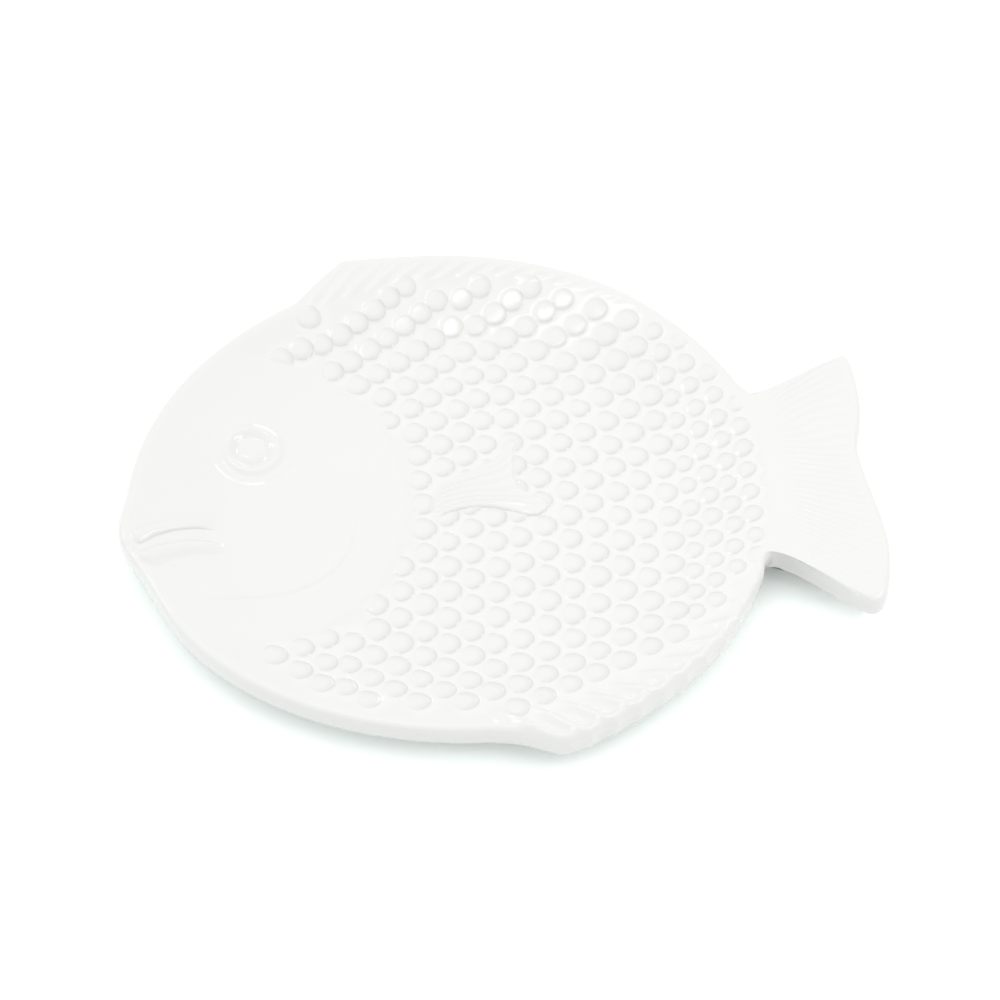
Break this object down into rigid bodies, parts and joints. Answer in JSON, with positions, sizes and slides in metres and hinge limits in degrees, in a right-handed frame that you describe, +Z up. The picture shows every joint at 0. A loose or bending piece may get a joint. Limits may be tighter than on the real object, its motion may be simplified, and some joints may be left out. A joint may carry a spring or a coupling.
{
  "type": "fish-shaped plate",
  "caption": "White glazed serving plate in the form of a round fish, with a dished scaled body, raised face, fins and tail, on a low foot ring.",
  "frame": {"origin": "middle of the plate's bounding box, on the surface that the foot ring stands on", "axes": "+X from the snout to the tail, +Y towards the back fin, +Z up out of the well"},
  "size_m": [0.2994, 0.248, 0.0227],
  "materials": {
    "glaze": "glossy white glaze",
    "bare_clay": "unglazed, fine and matt"
  },
  "bodies": {
    "root": {"plate_body": "glaze", "foot_ring": "bare_clay", "head": "glaze", "eye_ring": "glaze", "eye_pupil": "glaze", "upper_lip": "glaze", "lower_lip": "glaze", "pectoral_fin": "glaze", "dorsal_fin": "glaze", "anal_fin": "glaze", "tail_fin": "glaze"}
  },
  "joints": []
}
